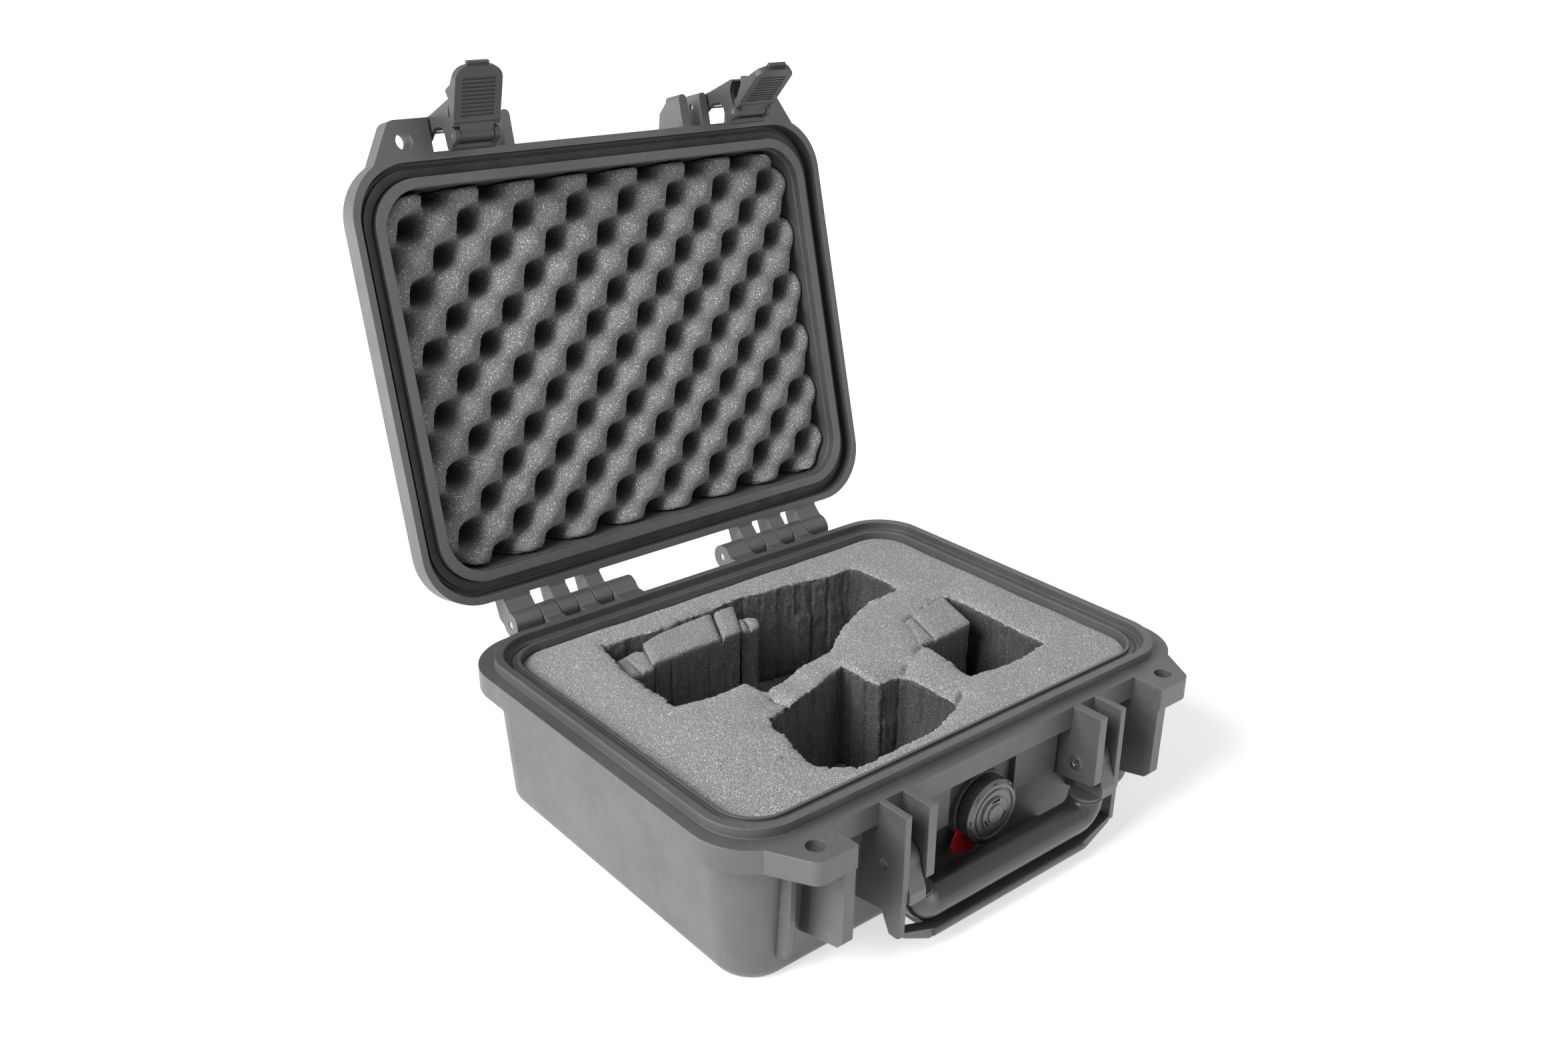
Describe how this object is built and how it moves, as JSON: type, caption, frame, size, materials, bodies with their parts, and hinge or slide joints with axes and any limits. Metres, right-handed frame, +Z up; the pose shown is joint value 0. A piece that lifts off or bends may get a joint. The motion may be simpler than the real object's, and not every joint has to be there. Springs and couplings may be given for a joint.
{
  "type": "small hinged protective case",
  "caption": "Small moulded plastic protective case standing open, with foam inserts, two draw latches, a folding handle, a pressure valve and padlock holes.",
  "frame": {"origin": "middle of the flat underside of the base", "axes": "+X to the right seen from the front, -Y out of the front with the latches and handle, +Z up"},
  "size_m": [0.27, 0.3303, 0.3262],
  "materials": {
    "shell": "matte",
    "latch": "matte",
    "grip": "satin",
    "knob": "gloss",
    "foam": "matte",
    "foam_dark": "matte",
    "seal": "matte",
    "pin_steel": "satin",
    "tag": "satin",
    "membrane": "matte"
  },
  "bodies": {
    "base": {"base_shell": "shell", "base_latch_lugs": "shell", "base_handle_ribs": "shell", "base_foot_guard": "shell", "base_hinge_knuckles": "shell", "base_foam_pad": "foam_dark", "base_foam": "foam", "foam_offcuts": "foam_dark", "hinge_pins": "pin_steel", "handle_pins": "pin_steel", "valve_body": "shell", "valve_nut": "shell", "valve_seal": "seal", "valve_membrane": "membrane", "valve_tag": "tag"},
    "lid": {"lid_shell": "shell", "lid_latch_lugs": "shell", "lid_latch_ribs": "shell", "lid_hinge_knuckles": "shell", "lid_gasket": "seal", "lid_foam": "foam", "latch_pins": "pin_steel"},
    "latch_link_left": {"latch_link_left": "latch", "lever_pin_left": "pin_steel"},
    "latch_lever_left": {"latch_lever_left": "latch"},
    "latch_link_right": {"latch_link_right": "latch", "lever_pin_right": "pin_steel"},
    "latch_lever_right": {"latch_lever_right": "latch"},
    "handle": {"handle_core": "shell", "handle_grip": "grip"},
    "valve_knob": {"valve_knob": "knob"}
  },
  "joints": [
    {"name": "lid_hinge", "type": "hinge", "parent": "base", "child": "lid", "pos_m": [0, 0.1177, 0.07], "axis": [-1, 0, 0], "range_deg": [-104, 6]},
    {"name": "latch_link_left", "type": "hinge", "parent": "lid", "child": "latch_link_left", "pos_m": [-0.0786, 0.18353, 0.29269], "axis": [-1, 0, 0], "range_deg": [-2, 100]},
    {"name": "latch_link_right", "type": "hinge", "parent": "lid", "child": "latch_link_right", "pos_m": [0.0786, 0.18353, 0.29269], "axis": [-1, 0, 0], "range_deg": [0, 102]},
    {"name": "latch_lever_left", "type": "hinge", "parent": "latch_link_left", "child": "latch_lever_left", "pos_m": [-0.0786, 0.15656, 0.29407], "axis": [-1, 0, 0], "range_deg": [-60, 0]},
    {"name": "latch_lever_right", "type": "hinge", "parent": "latch_link_right", "child": "latch_lever_right", "pos_m": [0.0786, 0.15653, 0.29313], "axis": [-1, 0, 0], "range_deg": [-32, 28]},
    {"name": "handle", "type": "hinge", "parent": "base", "child": "handle", "pos_m": [0, -0.1086, 0.0455], "axis": [-1, 0, 0], "range_deg": [0, 100]},
    {"name": "valve_knob", "type": "hinge", "parent": "base", "child": "valve_knob", "pos_m": [0, -0.0985, 0.0395], "axis": [0, -1, 0], "range_deg": [0, 270]}
  ]
}
